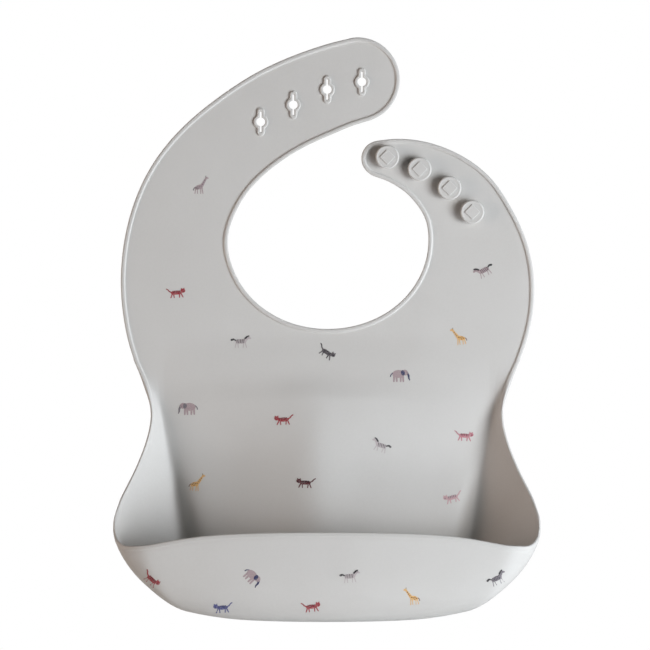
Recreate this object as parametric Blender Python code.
"""Silicone pocket bib for a small child, standing upright as worn.

Frame: metres, +X to the viewer's right, +Z up, the front faces -Y.  The flat
back of the chest panel lies in the plane Y = 0 and the origin is on it, on the
centreline, half way between the neck opening and the waist fold.

The bib is one moulding of soft silicone.  It is divided here along the lines
where it flexes, so each zone is a body of its own: a chest panel, two neck
straps of two zones each, four fastening studs and a four sided crumb pocket.
"""
import math

import bmesh
import bpy
import numpy as np
from mathutils import Vector

for old in list(bpy.data.objects):
    bpy.data.objects.remove(old, do_unlink=True)

# ---------------------------------------------------------------- dimensions
MM = 0.001                     # every length below is written in millimetres

SHEET = 2.0                    # wall of the moulding
RIM_WIDTH = 2.2                # raised bead that runs round the free edges
RIM_HEIGHT = 1.0               # how far the bead stands above the sheet
RIM_EASE = 0.4                 # rounding of the bead
GAP = 0.3                      # clearance between neighbouring zones
VALLEY_GAP = 0.45              # the same along the twisted seams of the pocket
STEP = 3.6                     # spacing of the points along an edge

NECK_Z = 55.0                  # height of the middle of the neck opening
NECK_SHIFT = 0.6               # the whole neck ring sits a little to the right
NECK_SHIFT_RISE = 25.0         # and reaches that over this height
NECK_HALF_WIDTH = 52.4
NECK_HALF_HEIGHT = 46.6
NECK_SQUARE = 0.004            # fuller than an oval at its lower corners

# Edges of the neck ring: bearing in degrees from +X about the middle of the
# neck opening, and the distance of the edge from it.
SLOTTED_INNER = ((71.3, 65.4), (85.7, 56.1), (100.6, 50.8), (128.0, 47.5),
                 (149.0, 48.7), (166.0, 50.7))
STUD_INNER = ((374.0, 51.6), (382.0, 49.8), (391.6, 47.4), (400.0, 44.9),
              (408.4, 42.5), (415.6, 40.4))
SLOTTED_OUTER = ((84.0, 105.5), (94.5, 100.1), (113.0, 94.9), (127.0, 93.8),
                 (144.0, 96.4), (158.0, 100.1), (180.0, 106.3), (199.4, 113.6),
                 (213.0, 119.1))
STUD_OUTER = ((-33.0, 119.1), (-19.4, 113.4), (0.0, 103.3), (11.2, 96.2),
              (19.6, 91.5), (33.0, 81.7), (49.3, 68.8), (61.83, 58.9))

SLOTTED_CAP = (15.9, 138.5, 22.2, 104.0, -76.0)    # x, z, radius, from, to
STUD_CAP = (27.2, 97.4, 9.4, 80.0, 250.0)

WAIST_Z = -8.0                 # fold between the chest panel and the pocket
STRAP_BEND_Z = 42.0            # line on which both straps bend backwards
SLOTTED_CURL = 137.0           # bearing of the second bend of the long strap
STUD_CURL = 30.0               # bearing of the second bend of the short strap
CHEST_RELIEF = 8.0             # slope of the chest's lower edge, clear of a fold
WAIST_RELIEF = 25.0            # slope of the pocket's upper edge, for swinging back
SIDE_DROP = 0.8                # extra clearance over the side walls, which splay
STRAP_RELIEF = 15.0            # degrees a strap may bend forwards

# Keyhole slots down the middle of the long strap, given by x and z.
SLOTS = ((-34.5, 116.5), (-17.5, 125.4), (0.2, 133.4), (18.3, 137.4))
SLOT_RADIUS = 2.25
SLIT_HALF_WIDTH = 0.4
SLIT_HALF_LENGTH = 5.3
COLLAR_RADIUS = 3.8
COLLAR_HALF_WIDTH = 1.9
COLLAR_HALF_LENGTH = 7.3
COLLAR_HEIGHT = 0.8

# Studs on the short strap, from the tip towards the chest.
STUDS = ((31.5, 98.2), (48.4, 91.9), (64.0, 82.0), (75.9, 69.5))
STUD_HEAD_RADIUS = 6.2
STUD_STEM_RADIUS = 2.6
STUD_HEIGHT = 4.0              # above the face of the strap
STUD_HEAD_THICKNESS = 1.6
STUD_FLARE = 0.6               # widening of the stem at both ends
STUD_EDGE = 0.8                # rounding of the head's edge
STUD_STEPS = 28
STUD_DIAMOND = 3.9             # half diagonal of the raised square on the head
STUD_DIAMOND_HEIGHT = 0.35

# Pocket: four guide lines of the face inside it, each from the waist fold down
# the back, round the bottom and up the front to the lip.
CENTRE_GUIDE = ((-2.0, -8.0), (-5.4, -22.0), (-12.0, -48.0), (-19.0, -78.0),
                (-23.6, -108.0), (-26.0, -134.0), (-32.5, -142.6),
                (-46.5, -132.5), (-51.5, -113.5), (-54.0, -97.5))
VALLEY_GUIDE = ((88.0, -2.0, -8.0), (87.0, -2.0, -22.0), (84.2, -1.4, -44.0),
                (80.4, -0.8, -69.0), (77.5, -0.8, -97.0), (72.5, -10.0, -128.0),
                (74.5, -28.5, -136.5), (85.5, -42.5, -129.3),
                (92.0, -47.5, -115.0), (94.0, -49.5, -104.5))
WALL_GUIDE = ((94.0, -2.0, -8.0), (91.5, -2.5, -21.0), (88.5, -4.0, -40.0),
              (90.8, -8.0, -64.5), (94.5, -12.0, -88.0), (96.8, -18.3, -105.5),
              (101.0, -27.7, -113.0), (105.3, -35.0, -112.5),
              (107.6, -40.7, -109.2), (108.5, -43.0, -105.0))
EDGE_GUIDE = ((100.8, -2.0, -8.0), (95.2, -4.0, -21.0), (91.3, -8.0, -38.0),
              (97.5, -15.0, -60.0), (105.1, -24.0, -76.0),
              (108.4, -29.5, -83.5), (110.0, -32.5, -88.0),
              (110.8, -34.0, -91.0), (111.2, -35.0, -93.5), (111.4, -36.0, -96.0))
BOTTOM_ROW = 6                 # guide point at the lowest line of the pocket

# Shares of the way from the centre guide to the valley guide (in x, y and z) of
# the two lines between them, and from the valley to its neighbours.  The back
# is a low ridge with straight flanks that grow steep towards the valleys lower
# down; the bottom and the front are round.
ROUND_NEAR, ROUND_FAR = np.array([0.33, 0.04, 0.04]), np.array([0.70, 0.42, 0.22])
RIDGE_NEAR, RIDGE_FAR = np.array([0.16, 0.21, 0.04]), np.array([0.62, 0.72, 0.42])
ROUND_FOOT, RIDGE_FOOT = np.array([0.22, 0.22, 0.22]), np.array([0.24, 0.50, 0.22])
WALL_FOOT, TROUGH_WALL = np.array([0.42, 0.22, 0.35]), np.array([0.40, 0.26, 0.35])
TROUGH_NEAR, TROUGH_FAR = np.array([0.24, 0.22, 0.04]), np.array([0.72, 0.50, 0.42])
TROUGH_FOOT = np.array([0.24, 0.76, 0.22])
TROUGH_FROM, TROUGH_EASE = 42.0, 40.0    # where the flanks start to differ
RIDGE_FADE = 45.0              # length over which the ridge turns round
RIDGE_SHIFT = -6.0             # the ridge runs a little to the left of the middle
WAIST_EASE = 12.0              # length over which the flat chest turns into it
ARCH_DROP = 14.0               # the turn runs in an arch, lower at the valleys
ARCH_POWER = 2.4
ARCH_END = 1.25                # in valley half widths: where it has faded out
ARCH_FADE = 0.35

FRONT_FOLD_Y = -29.0           # line on which the front wall folds back
FRONT_FOLD_Z = -134.0
SIDE_FOLD_Y = 1.3              # the side walls splay about a line behind the valley

SILICONE = (0.60, 0.59, 0.58, 1.0)


# ------------------------------------------------------------------- helpers
def cubic_through(keys, values, at):
    """Values at `at` of the natural cubic that passes through every key."""
    t = np.asarray(keys, float)
    p = np.asarray(values, float).reshape(len(t), -1)
    h = np.diff(t)
    size = len(t)
    a = np.zeros((size, size))
    b = np.zeros_like(p)
    a[0, 0] = a[-1, -1] = 1.0
    for i in range(1, size - 1):
        a[i, i - 1:i + 2] = h[i - 1], 2.0 * (h[i - 1] + h[i]), h[i]
        b[i] = 6.0 * ((p[i + 1] - p[i]) / h[i] - (p[i] - p[i - 1]) / h[i - 1])
    m = np.linalg.solve(a, b)
    at = np.atleast_1d(np.asarray(at, float))
    k = np.clip(np.searchsorted(t, at) - 1, 0, size - 2)
    s, r, g = (at - t[k])[:, None], (t[k + 1] - at)[:, None], h[k][:, None]
    return ((m[k] * r ** 3 + m[k + 1] * s ** 3) / (6.0 * g)
            + (p[k] / g - m[k] * g / 6.0) * r
            + (p[k + 1] / g - m[k + 1] * g / 6.0) * s)


def polar(keys, bearings):
    """Points (x, z) of an edge of the neck ring at the given bearings."""
    ang = [k[0] for k in keys]
    rad = cubic_through(ang, [k[1] for k in keys], bearings)[:, 0]
    a = np.radians(np.atleast_1d(bearings))
    z = NECK_Z + rad * np.sin(a)
    rise = np.clip((z - WAIST_Z) / NECK_SHIFT_RISE, 0.0, 1.0)
    return np.stack([rad * np.cos(a) + NECK_SHIFT * rise, z], axis=1)


def neck_edge():
    """Bearings and distances of the whole neck edge, strap to strap."""
    keys = list(SLOTTED_INNER)
    for deg in range(180, 361, 15):
        c, s = math.cos(math.radians(deg)), math.sin(math.radians(deg))
        oval_radius = 1.0 / math.hypot(c / NECK_HALF_WIDTH, s / NECK_HALF_HEIGHT)
        keys.append((float(deg), oval_radius * (1.0 + NECK_SQUARE * (2.0 * s * c) ** 2)))
    return tuple(keys) + STUD_INNER


def bearing_at(keys, z, low, high):
    """Bearing at which an edge crosses the height z."""
    side = polar(keys, low)[0, 1] > z
    for _ in range(50):
        mid = 0.5 * (low + high)
        if (polar(keys, mid)[0, 1] > z) == side:
            low = mid
        else:
            high = mid
    return 0.5 * (low + high)


def run(keys, start, end):
    """Edge points from one bearing to another, spaced by about STEP."""
    ends = polar(keys, [start, end])
    centre = np.array([0.0, NECK_Z])
    radius = np.linalg.norm(ends - centre, axis=1).mean()
    count = max(2, int(math.ceil(abs(math.radians(end - start)) * radius / STEP)))
    return polar(keys, np.linspace(start, end, count + 1))


def cap(spec):
    """Rounded end of a strap."""
    x, z, radius, start, end = spec
    count = int(math.ceil(abs(math.radians(end - start)) * radius / (0.8 * STEP)))
    a = np.radians(np.linspace(start, end, count + 1))
    return np.stack([x + radius * np.cos(a), z + radius * np.sin(a)], axis=1)


def add_object(name, verts, faces, pivot, smooth):
    """Mesh object in metres whose origin is at `pivot` (millimetres)."""
    mesh = bpy.data.meshes.new(name)
    local = (np.asarray(verts, float) - np.asarray(pivot, float)) * MM
    mesh.from_pydata([tuple(v) for v in local], [], faces)
    bm = bmesh.new()
    bm.from_mesh(mesh)
    bmesh.ops.remove_doubles(bm, verts=bm.verts, dist=1e-6)
    bmesh.ops.recalc_face_normals(bm, faces=bm.faces)
    bm.to_mesh(mesh)
    bm.free()
    for poly in mesh.polygons:
        poly.use_smooth = smooth
    obj = bpy.data.objects.new(name, mesh)
    obj.location = Vector([c * MM for c in pivot])
    bpy.context.collection.objects.link(obj)
    mat = bpy.data.materials.new(name + "_silicone")
    mat.use_nodes = True
    shader = mat.node_tree.nodes["Principled BSDF"]
    shader.inputs["Base Color"].default_value = SILICONE
    shader.inputs["Roughness"].default_value = 0.55
    mesh.materials.append(mat)
    return obj


def flat_piece(name, chains, pivot):
    """Flat zone of the sheet, with the raised bead along its free edges.

    chains: consecutive stretches of the outline as (points, free, lean).  A
    stretch that is not free is a straight seam; `lean` slopes its end face by
    that many degrees so that the zone can swing towards the viewer.
    """
    points, free, lean, slide = [], [], [], []
    count = len(chains)
    for i, (stretch, is_free, _) in enumerate(chains):
        stretch = np.asarray(stretch, float)
        for j in range(len(stretch) - 1):
            points.append(stretch[j])
            seam = None
            if j == 0 and (not is_free or not chains[i - 1][1]):
                seam = i if not is_free else (i - 1) % count
            elif not is_free:
                seam = i
            on_free = is_free or (j == 0 and chains[i - 1][1])
            free.append(on_free)
            lean.append(0.0 if seam is None else chains[seam][2])
            slide.append(seam)
    points = np.array(points)
    size = len(points)
    area = 0.5 * np.sum(points[:, 0] * np.roll(points[:, 1], -1)
                        - points[:, 1] * np.roll(points[:, 0], -1))
    turn = 1.0 if area > 0 else -1.0
    before = points - np.roll(points, 1, axis=0)
    after = np.roll(points, -1, axis=0) - points
    before /= np.linalg.norm(before, axis=1)[:, None]
    after /= np.linalg.norm(after, axis=1)[:, None]

    def inward(d):
        return turn * np.stack([-d[:, 1], d[:, 0]], axis=1)

    miter = inward(before) + inward(after)
    miter /= np.linalg.norm(miter, axis=1)[:, None]
    miter /= np.einsum("ij,ij->i", miter, inward(after))[:, None]
    profile = ((0.0, 0.0), (0.0, SHEET + RIM_HEIGHT - RIM_EASE),
               (RIM_EASE, SHEET + RIM_HEIGHT),
               (RIM_WIDTH - RIM_EASE, SHEET + RIM_HEIGHT), (RIM_WIDTH, SHEET))
    verts = []
    for inset, height in profile:
        for i in range(size):
            p = points[i].copy()
            h = height if free[i] else min(height, SHEET)
            if slide[i] is None:
                p = p + miter[i] * inset
            else:
                chain = np.asarray(chains[slide[i]][0], float)
                along = chain[-1] - chain[0]
                along /= np.linalg.norm(along)
                normal = turn * np.array([-along[1], along[0]])
                if free[i]:
                    at_start = np.allclose(points[i], chain[0])
                    edge = before[i] if at_start else after[i]
                    into = along if at_start else -along
                    square = abs(along[0] * edge[1] - along[1] * edge[0])
                    p = p + into * inset / max(square, 0.5)
                p = p + normal * math.tan(math.radians(lean[i])) * h
            verts.append((p[0], -h, p[1]))
    faces = []
    for k in range(len(profile) - 1):
        for i in range(size):
            j = (i + 1) % size
            faces.append((k * size + i, k * size + j,
                          (k + 1) * size + j, (k + 1) * size + i))
    faces.append(tuple(range(size)))
    faces.append(tuple(reversed([(len(profile) - 1) * size + i
                                 for i in range(size)])))
    return add_object(name, verts, faces, pivot, True)


def seam(p, q, away):
    """Seam from p to q, moved half a gap in the direction `away`."""
    p, q = np.asarray(p, float), np.asarray(q, float)
    shift = np.asarray(away, float)
    shift = shift / np.linalg.norm(shift) * GAP / 2.0
    return np.array([p + shift, q + shift])


def stitched(*chains):
    """Outline stretches with their shared end points made equal.

    The seams decide: each free stretch starts and ends on the seam next to it.
    """
    chains = [[np.asarray(c[0], float).copy(), c[1], c[2]] for c in chains]
    count = len(chains)
    for i, chain in enumerate(chains):
        nxt = chains[(i + 1) % count]
        if chain[1] and not nxt[1]:
            chain[0][-1] = nxt[0][0]
        elif not chain[1] and nxt[1]:
            nxt[0][0] = chain[0][-1]
        else:
            nxt[0][0] = chain[0][-1]
    return chains


def keyhole(radius, half_width, half_length, steps):
    """Outline of a round hole with a slit above and below it."""
    meet = math.acos(half_width / radius)
    quarter = []
    for a in np.linspace(0.0, meet, steps):
        quarter.append((radius * math.cos(a), radius * math.sin(a)))
    for a in np.linspace(0.0, math.pi / 2.0, steps):
        quarter.append((half_width * math.cos(a),
                        half_length - half_width + half_width * math.sin(a)))
    upper = quarter + [(-x, z) for x, z in reversed(quarter[:-1])]
    return upper + [(x, -z) for x, z in reversed(upper[1:-1])]


def prism(name, outline, x, z, y0, y1):
    """Upright cutter or pad with the given outline, between two depths."""
    size = len(outline)
    verts = [(x + a, y0, z + b) for a, b in outline]
    verts += [(x + a, y1, z + b) for a, b in outline]
    faces = [tuple(range(size)), tuple(reversed(range(size, 2 * size)))]
    faces += [(i, (i + 1) % size, size + (i + 1) % size, size + i)
              for i in range(size)]
    return add_object(name, verts, faces, (0.0, 0.0, 0.0), False)


def combine(target, tool, operation):
    """Exact boolean, applied, and the tool removed."""
    tool.hide_render = True
    tool.display_type = 'WIRE'
    mod = target.modifiers.new("combine", 'BOOLEAN')
    mod.operation = operation
    mod.solver = 'EXACT'
    mod.object = tool
    bpy.context.view_layer.update()
    done = bpy.data.meshes.new_from_object(
        target.evaluated_get(bpy.context.evaluated_depsgraph_get()))
    target.modifiers.remove(mod)
    old = target.data
    material = old.materials[0]
    done.name = target.name
    done.materials.clear()
    done.materials.append(material)
    for poly in done.polygons:
        poly.material_index = 0
    target.data = done
    bpy.data.meshes.remove(old)
    bpy.data.objects.remove(tool, do_unlink=True)


# --------------------------------------------------------------- neck sheet
NECK_EDGE = neck_edge()
left_in = bearing_at(NECK_EDGE, STRAP_BEND_Z, 180.0, 230.0)
right_in = bearing_at(NECK_EDGE, STRAP_BEND_Z, 310.0, 360.0)
left_out = bearing_at(SLOTTED_OUTER, STRAP_BEND_Z, 170.0, 210.0)
right_out = bearing_at(STUD_OUTER, STRAP_BEND_Z, -30.0, 10.0)
waist_left = bearing_at(SLOTTED_OUTER, WAIST_Z, 195.0, 213.0)
waist_right = bearing_at(STUD_OUTER, WAIST_Z, -33.0, -15.0)

UP, DOWN = (0.0, 1.0), (0.0, -1.0)
corner_l = polar(SLOTTED_OUTER, waist_left)[0]
corner_r = polar(STUD_OUTER, waist_right)[0]
l_out, l_in = polar(SLOTTED_OUTER, left_out)[0], polar(NECK_EDGE, left_in)[0]
r_out, r_in = polar(STUD_OUTER, right_out)[0], polar(NECK_EDGE, right_in)[0]

flat_piece("chest_panel", stitched(
    (run(NECK_EDGE, left_in, right_in), True, 0.0),
    (seam(r_in, r_out, DOWN), False, 0.0),
    (run(STUD_OUTER, right_out, waist_right), True, 0.0),
    (seam(corner_r, corner_l, UP), False, CHEST_RELIEF),
    (run(SLOTTED_OUTER, waist_left, left_out), True, 0.0),
    (seam(l_out, l_in, DOWN), False, 0.0)), (0.0, 0.0, 0.0))


def radial(bearing):
    a = math.radians(bearing)
    return np.array([math.cos(a), math.sin(a)])


def across(bearing):
    a = math.radians(bearing)
    return np.array([-math.sin(a), math.cos(a)])


curl_l_in = polar(NECK_EDGE, SLOTTED_CURL)[0]
curl_l_out = polar(SLOTTED_OUTER, SLOTTED_CURL)[0]
flat_piece("slotted_strap_base", stitched(
    (run(NECK_EDGE, SLOTTED_CURL, left_in), True, 0.0),
    (seam(l_in, l_out, UP), False, STRAP_RELIEF),
    (run(SLOTTED_OUTER, left_out, SLOTTED_CURL), True, 0.0),
    (seam(curl_l_out, curl_l_in, across(SLOTTED_CURL)), False, 0.0)),
    (-79.0, 0.0, STRAP_BEND_Z))

tip_l_in = NECK_EDGE[0][0]
tip_l_out = SLOTTED_OUTER[0][0]
slotted_mid = 0.5 * (curl_l_in + curl_l_out)
slotted_tip = flat_piece("slotted_strap_tip", stitched(
    (run(SLOTTED_OUTER, SLOTTED_CURL, tip_l_out), True, 0.0),
    (cap(SLOTTED_CAP), True, 0.0),
    (run(NECK_EDGE, tip_l_in, SLOTTED_CURL), True, 0.0),
    (seam(curl_l_in, curl_l_out, -across(SLOTTED_CURL)), False, STRAP_RELIEF)),
    (slotted_mid[0], 0.0, slotted_mid[1]))

for x, z in SLOTS:
    combine(slotted_tip, prism("collar", keyhole(
        COLLAR_RADIUS, COLLAR_HALF_WIDTH, COLLAR_HALF_LENGTH, 6),
        x, z, -SHEET / 2.0, -SHEET - COLLAR_HEIGHT), 'UNION')
    combine(slotted_tip, prism("slot", keyhole(
        SLOT_RADIUS, SLIT_HALF_WIDTH, SLIT_HALF_LENGTH, 5),
        x, z, SHEET, -3.0 * SHEET), 'DIFFERENCE')

curl_bearing = STUD_CURL + 360.0
curl_r_in = polar(NECK_EDGE, curl_bearing)[0]
curl_r_out = polar(STUD_OUTER, STUD_CURL)[0]
flat_piece("stud_strap_base", stitched(
    (run(NECK_EDGE, right_in, curl_bearing), True, 0.0),
    (seam(curl_r_in, curl_r_out, -across(STUD_CURL)), False, 0.0),
    (run(STUD_OUTER, STUD_CURL, right_out), True, 0.0),
    (seam(r_out, r_in, UP), False, STRAP_RELIEF)),
    (79.0, 0.0, STRAP_BEND_Z))

stud_mid = 0.5 * (curl_r_in + curl_r_out)
flat_piece("stud_strap_tip", stitched(
    (run(NECK_EDGE, curl_bearing, NECK_EDGE[-1][0]), True, 0.0),
    (cap(STUD_CAP)[::-1], True, 0.0),
    (run(STUD_OUTER, STUD_OUTER[-1][0], STUD_CURL), True, 0.0),
    (seam(curl_r_out, curl_r_in, across(STUD_CURL)), False, STRAP_RELIEF)),
    (stud_mid[0], 0.0, stud_mid[1]))


# -------------------------------------------------------------------- studs
def stud(name, x, z):
    """Round stem with a flat round head and a raised square on the head."""
    base = -SHEET - GAP
    top = -SHEET - STUD_HEIGHT
    under = top + STUD_HEAD_THICKNESS
    stem, head = STUD_STEM_RADIUS, STUD_HEAD_RADIUS
    flare, edge = STUD_FLARE, STUD_EDGE
    profile = ((stem + flare, base), (stem, base - flare), (stem, under + flare),
               (stem + flare, under), (head - edge, under),
               (head - edge / 4.0, under - edge / 4.0), (head, under - edge),
               (head - edge / 3.0, top + edge / 2.0), (head - 1.4 * edge, top))
    count = len(profile)
    verts = [(x + rad * math.cos(2 * math.pi * i / STUD_STEPS), y,
              z + rad * math.sin(2 * math.pi * i / STUD_STEPS))
             for rad, y in profile for i in range(STUD_STEPS)]
    faces = [(k * STUD_STEPS + i, k * STUD_STEPS + (i + 1) % STUD_STEPS,
              (k + 1) * STUD_STEPS + (i + 1) % STUD_STEPS, (k + 1) * STUD_STEPS + i)
             for k in range(count - 1) for i in range(STUD_STEPS)]
    faces.append(tuple(range(STUD_STEPS)))
    faces.append(tuple(reversed(range((count - 1) * STUD_STEPS, count * STUD_STEPS))))
    made = add_object(name, verts, faces, (x, 0.0, z), True)
    d = STUD_DIAMOND
    combine(made, prism("diamond", ((d, 0.0), (0.0, d), (-d, 0.0), (0.0, -d)),
                        x, z, under, top - STUD_DIAMOND_HEIGHT), 'UNION')


for number, (x, z) in enumerate(STUDS, start=1):
    stud("stud_%d" % number, x, z)


# ------------------------------------------------------------------- pocket
def basis(count, at):
    """Clamped cubic B-spline weights of `count` control points."""
    knots = np.concatenate([np.zeros(3), np.linspace(0.0, 1.0, count - 2),
                            np.ones(3)])
    at = np.clip(np.asarray(at, float), 0.0, 1.0 - 1e-12)
    n = ((at[:, None] >= knots[:-1]) & (at[:, None] < knots[1:])).astype(float)
    for degree in (1, 2, 3):
        left = knots[degree:-1] - knots[:-degree - 1]
        right = knots[degree + 1:] - knots[1:-degree]
        a = np.where(left > 0, (at[:, None] - knots[:-degree - 1])
                     / np.where(left > 0, left, 1.0), 0.0)
        b = np.where(right > 0, (knots[degree + 1:] - at[:, None])
                     / np.where(right > 0, right, 1.0), 0.0)
        n = a * n[:, :-1] + b * n[:, 1:]
    return n


centre = np.array([(0.0, y, z) for y, z in CENTRE_GUIDE])
valley, wall, edge = (np.array(g) for g in (VALLEY_GUIDE, WALL_GUIDE, EDGE_GUIDE))
pitch = 0.5 * (np.linalg.norm(np.diff(centre, axis=0), axis=1)
               + np.linalg.norm(np.diff(valley, axis=0), axis=1))
ROW_KEYS = np.concatenate([[0.0], np.cumsum(pitch)])
COLUMNS = 15
# The valley is carried by control column 11: the mean of the knots around it.
VALLEY_U = 2.0 * float(np.mean(np.linspace(0.0, 1.0, COLUMNS - 2)[9:12])) - 1.0


def smoothstep(x):
    """Ease from 0 to 1 with level ends."""
    x = np.clip(x, 0.0, 1.0)
    return x * x * (3.0 - 2.0 * x)


def pocket_point(u, w):
    """Face inside the pocket: u from -1 (left edge) to 1, w along ROW_KEYS."""
    c, v, m, e = (cubic_through(ROW_KEYS, g, w) for g in (centre, valley, wall, edge))
    u, w = np.asarray(u, float), np.asarray(w, float)
    ridge = smoothstep((ROW_KEYS[BOTTOM_ROW] - w) / RIDGE_FADE)[:, None]
    trough = smoothstep((w - TROUGH_FROM) / TROUGH_EASE)[:, None]
    near = RIDGE_NEAR + (TROUGH_NEAR - RIDGE_NEAR) * trough
    far = RIDGE_FAR + (TROUGH_FAR - RIDGE_FAR) * trough
    foot = RIDGE_FOOT + (TROUGH_FOOT - RIDGE_FOOT) * trough
    a = c + (v - c) * (ROUND_NEAR + (near - ROUND_NEAR) * ridge)
    b = c + (v - c) * (ROUND_FAR + (far - ROUND_FAR) * ridge)
    v_in = v + (b - v) * (ROUND_FOOT + (foot - ROUND_FOOT) * ridge)
    v_out = v + (m - v) * (WALL_FOOT + (TROUGH_WALL - WALL_FOOT) * ridge)
    half = np.stack([c, a, b, v_in, v, v_out, m, e], axis=1)
    flip = half[:, :0:-1] * np.array([-1.0, 1.0, 1.0])
    control = np.concatenate([flip, half], axis=1)
    middle = COLUMNS // 2
    control[:, middle - 1:middle + 2, 0] += RIDGE_SHIFT * ridge
    skin = np.einsum("ri,wic->wrc", basis(COLUMNS, (u + 1.0) / 2.0), control)
    out = np.abs(u) / VALLEY_U
    arch = out ** ARCH_POWER * smoothstep((ARCH_END - out) / ARCH_FADE)
    turned = smoothstep((w[:, None] - ARCH_DROP * arch[None, :]) / WAIST_EASE)
    skin[:, :, 1] = (skin[:, :, 1] + SHEET) * turned - SHEET
    return skin


def pocket_faces(us, ws):
    """Points of the inside and the outside face over a grid of parameters."""
    us, ws = np.asarray(us, float), np.asarray(ws, float)
    eps_u, eps_w = 1e-3, 0.05
    last = ROW_KEYS[-1]
    u0, u1 = np.maximum(us - eps_u, -1.0), np.minimum(us + eps_u, 1.0)
    w0, w1 = np.maximum(ws - eps_w, 0.0), np.minimum(ws + eps_w, last)
    du = pocket_point(u1, ws) - pocket_point(u0, ws)
    dw = pocket_point(us, w1) - pocket_point(us, w0)
    normal = np.cross(du, dw)
    normal /= np.linalg.norm(normal, axis=2)[:, :, None]
    inside = pocket_point(us, ws)
    return inside, inside + normal * SHEET


def pull(grid, axis, index, amount):
    """Move one border of a grid towards its neighbour by `amount`."""
    g = np.moveaxis(grid, axis, 0)
    neighbour = g[1] if index == 0 else g[-2]
    d = neighbour - g[index]
    g[index] += d / np.linalg.norm(d, axis=-1)[:, None] * amount


def shell_piece(name, us, ws, seams, pivot, relief, drop):
    """Closed shell zone of the pocket over a parameter rectangle.

    seams: borders (axis, index) that meet a neighbour.  The upper edge slopes
    down towards the back by `relief` degrees and lies lower by `drop`.
    """
    inside, outside = pocket_faces(us, ws)
    for grid in (inside, outside):
        for axis, index in seams:
            pull(grid, axis, index, (VALLEY_GAP if axis == 1 else GAP) / 2.0)
        grid[0, :, 2] -= drop
    outside[0, :, 2] -= SHEET * math.tan(math.radians(relief))
    rows, cols = len(ws), len(us)
    verts = np.concatenate([inside.reshape(-1, 3), outside.reshape(-1, 3)])
    n = rows * cols
    faces = []
    for r in range(rows - 1):
        for c in range(cols - 1):
            q = (r * cols + c, r * cols + c + 1, (r + 1) * cols + c + 1,
                 (r + 1) * cols + c)
            faces.append(q)
            faces.append(tuple(n + k for k in reversed(q)))
    ring = [c for c in range(cols)]
    ring += [r * cols + cols - 1 for r in range(1, rows)]
    ring += [(rows - 1) * cols + c for c in range(cols - 2, -1, -1)]
    ring += [r * cols for r in range(rows - 2, 0, -1)]
    for a, b in zip(ring, ring[1:] + ring[:1]):
        faces.append((b, a, n + a, n + b))
    return add_object(name, verts, faces, pivot, True)


BACK_ROWS, FRONT_ROWS = 30, 11
FLOOR_COLUMNS, SIDE_COLUMNS = 19, 8

bottom_w, last_w = float(ROW_KEYS[BOTTOM_ROW]), float(ROW_KEYS[-1])
back_w = np.linspace(0.0, bottom_w, BACK_ROWS)
front_w = np.linspace(bottom_w, last_w, FRONT_ROWS)
floor_u = np.linspace(-VALLEY_U, VALLEY_U, FLOOR_COLUMNS)
side_u = np.linspace(VALLEY_U, 1.0, SIDE_COLUMNS)
side_w = np.concatenate([back_w, front_w[1:]])

shell_piece("pocket_back_panel", floor_u, back_w,
            ((0, 0), (0, -1), (1, 0), (1, -1)), (0.0, -SHEET, WAIST_Z),
            WAIST_RELIEF, 0.0)
shell_piece("pocket_front_wall", floor_u, front_w,
            ((0, 0), (1, 0), (1, -1)), (0.0, FRONT_FOLD_Y, FRONT_FOLD_Z), 0.0, 0.0)
hinge_x, _, hinge_z = 0.5 * (valley[2] + valley[4])
shell_piece("pocket_right_wall", side_u, side_w, ((0, 0), (1, 0)),
            (hinge_x, SIDE_FOLD_Y, hinge_z), WAIST_RELIEF, SIDE_DROP)
shell_piece("pocket_left_wall", -side_u[::-1], side_w, ((0, 0), (1, -1)),
            (-hinge_x, SIDE_FOLD_Y, hinge_z), WAIST_RELIEF, SIDE_DROP)
